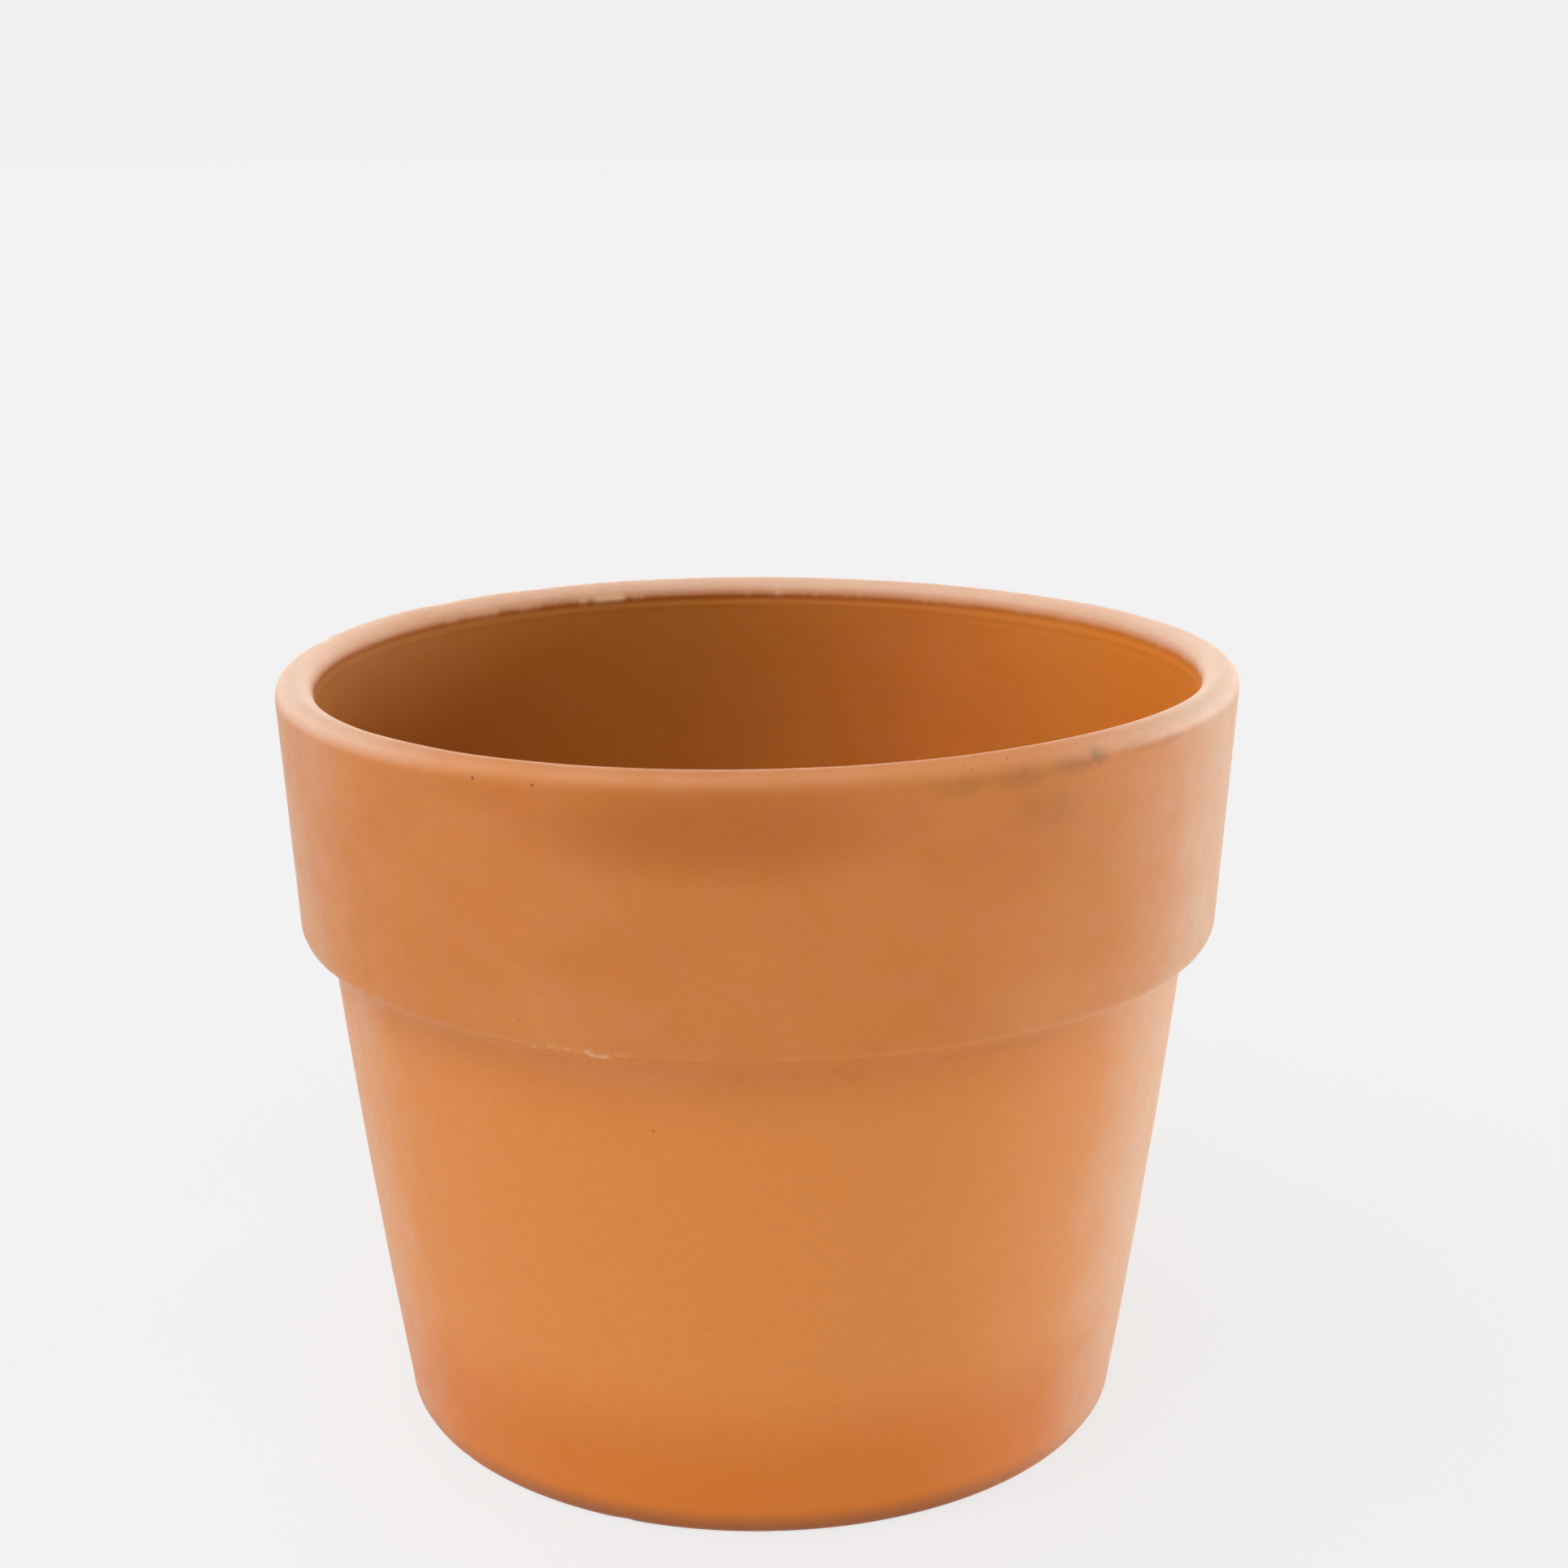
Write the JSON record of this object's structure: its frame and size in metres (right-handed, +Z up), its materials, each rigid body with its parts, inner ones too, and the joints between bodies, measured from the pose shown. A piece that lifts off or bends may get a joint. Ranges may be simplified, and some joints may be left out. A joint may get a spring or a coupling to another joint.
{
  "type": "terracotta plant pot",
  "caption": "Round tapered clay plant pot with a deep plain collar, a rounded rim, an open top and a drain hole in the floor.",
  "frame": {"origin": "centre of the foot ring, on the plane that the pot stands on", "axes": "+Z up along the pot's axis of revolution, from the foot to the open top; X and Y are equivalent"},
  "size_m": [0.155, 0.155, 0.125],
  "materials": {
    "terracotta": "unglazed fired clay, satin matte"
  },
  "bodies": {
    "root": {"pot": "terracotta"}
  },
  "joints": []
}
